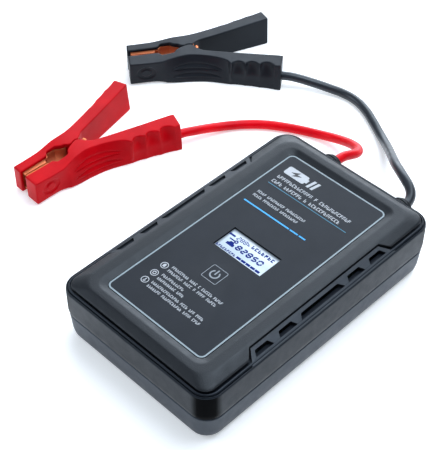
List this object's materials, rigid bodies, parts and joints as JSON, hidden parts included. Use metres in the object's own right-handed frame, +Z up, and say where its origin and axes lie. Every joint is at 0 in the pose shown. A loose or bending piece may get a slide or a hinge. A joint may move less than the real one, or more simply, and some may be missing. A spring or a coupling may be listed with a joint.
{
  "type": "jump starter pack",
  "caption": "Flat capacitor jump starter with a display, a power key, side vents and short leads that end in a red and a black spring clamp.",
  "frame": {"origin": "under the centre of the case, on the surface that it stands on, without the leads and clamps", "axes": "+Z up out of the label panel, +Y along the case's length to the wall that the leads leave, +X to the case's right"},
  "size_m": [0.3377, 0.3533, 0.0529],
  "materials": {
    "cover_plastic": "fine textured moulded plastic, satin",
    "frame_plastic": "moulded plastic with glossy corners",
    "shell_plastic": "fine textured moulded plastic",
    "panel_film": "printed polycarbonate film",
    "display": "clear window over a pale display",
    "board": "solder-masked circuit board",
    "rubber_black": "moulded rubber",
    "capacitor_sleeve": "shrink sleeve on an aluminium can",
    "dark_plastic": "moulded plastic",
    "steel": "zinc-plated steel",
    "copper": "copper-plated sheet",
    "aluminium": "extruded aluminium",
    "clamp_red": "satin moulded plastic, red",
    "clamp_black": "satin moulded plastic, black",
    "lead_red": "glossy flexible insulation, red",
    "lead_black": "glossy flexible insulation, black"
  },
  "bodies": {
    "pack": {"lower_shell": "shell_plastic", "middle_frame": "frame_plastic", "top_cover": "cover_plastic", "label_panel": "panel_film", "display_window": "display", "display_module": "display", "display_board": "board", "balance_board": "board", "main_board": "board", "power_switch": "steel", "capacitor_tray": "dark_plastic", "heat_sink": "aluminium", "relay": "dark_plastic", "fuse": "dark_plastic", "positive_bus_bar": "copper", "negative_bus_bar": "copper", "capacitor_cell_1": "capacitor_sleeve", "capacitor_cell_2": "capacitor_sleeve", "capacitor_cell_3": "capacitor_sleeve", "capacitor_cell_4": "capacitor_sleeve", "capacitor_cell_5": "capacitor_sleeve", "foot_1": "rubber_black", "foot_2": "rubber_black", "foot_3": "rubber_black", "foot_4": "rubber_black", "case_screw_1": "steel", "case_screw_2": "steel", "case_screw_3": "steel", "case_screw_4": "steel", "red_ring_terminal": "copper", "red_inner_lead": "lead_red", "red_grommet": "rubber_black", "red_lead": "lead_red", "red_clamp_cable_handle": "clamp_red", "red_clamp_pivot_pin": "steel", "red_clamp_spring": "steel", "red_clamp_cable_jaw": "copper", "red_clamp_crimp": "copper", "black_ring_terminal": "copper", "black_inner_lead": "lead_black", "black_grommet": "rubber_black", "black_lead": "lead_black", "black_clamp_cable_handle": "clamp_black", "black_clamp_pivot_pin": "steel", "black_clamp_spring": "steel", "black_clamp_cable_jaw": "copper", "black_clamp_crimp": "copper"},
    "red_clamp_lever": {"red_clamp_lever_handle": "clamp_red", "red_clamp_lever_jaw": "copper"},
    "black_clamp_lever": {"black_clamp_lever_handle": "clamp_black", "black_clamp_lever_jaw": "copper"},
    "power_key": {"power_button": "panel_film"}
  },
  "joints": [
    {"name": "red_clamp_squeeze", "type": "hinge", "parent": "pack", "child": "red_clamp_lever", "pos_m": [-0.19434, 0.00705, 0.012], "axis": [0, 0, -1], "range_deg": [0, 24], "stiffness_Nm_per_rad": 2.5, "springref_deg": -20.05, "deforming": ["red_clamp_spring"]},
    {"name": "black_clamp_squeeze", "type": "hinge", "parent": "pack", "child": "black_clamp_lever", "pos_m": [-0.2218, 0.15629, 0.012], "axis": [0, 0, -1], "range_deg": [0, 24], "stiffness_Nm_per_rad": 2.5, "springref_deg": -20.05, "deforming": ["black_clamp_spring"]},
    {"name": "power_key_press", "type": "slide", "parent": "pack", "child": "power_key", "axis": [0, 0, -1], "range_m": [0, 0.0005], "stiffness_N_per_m": 2000, "springref_m": -0.0003}
  ]
}
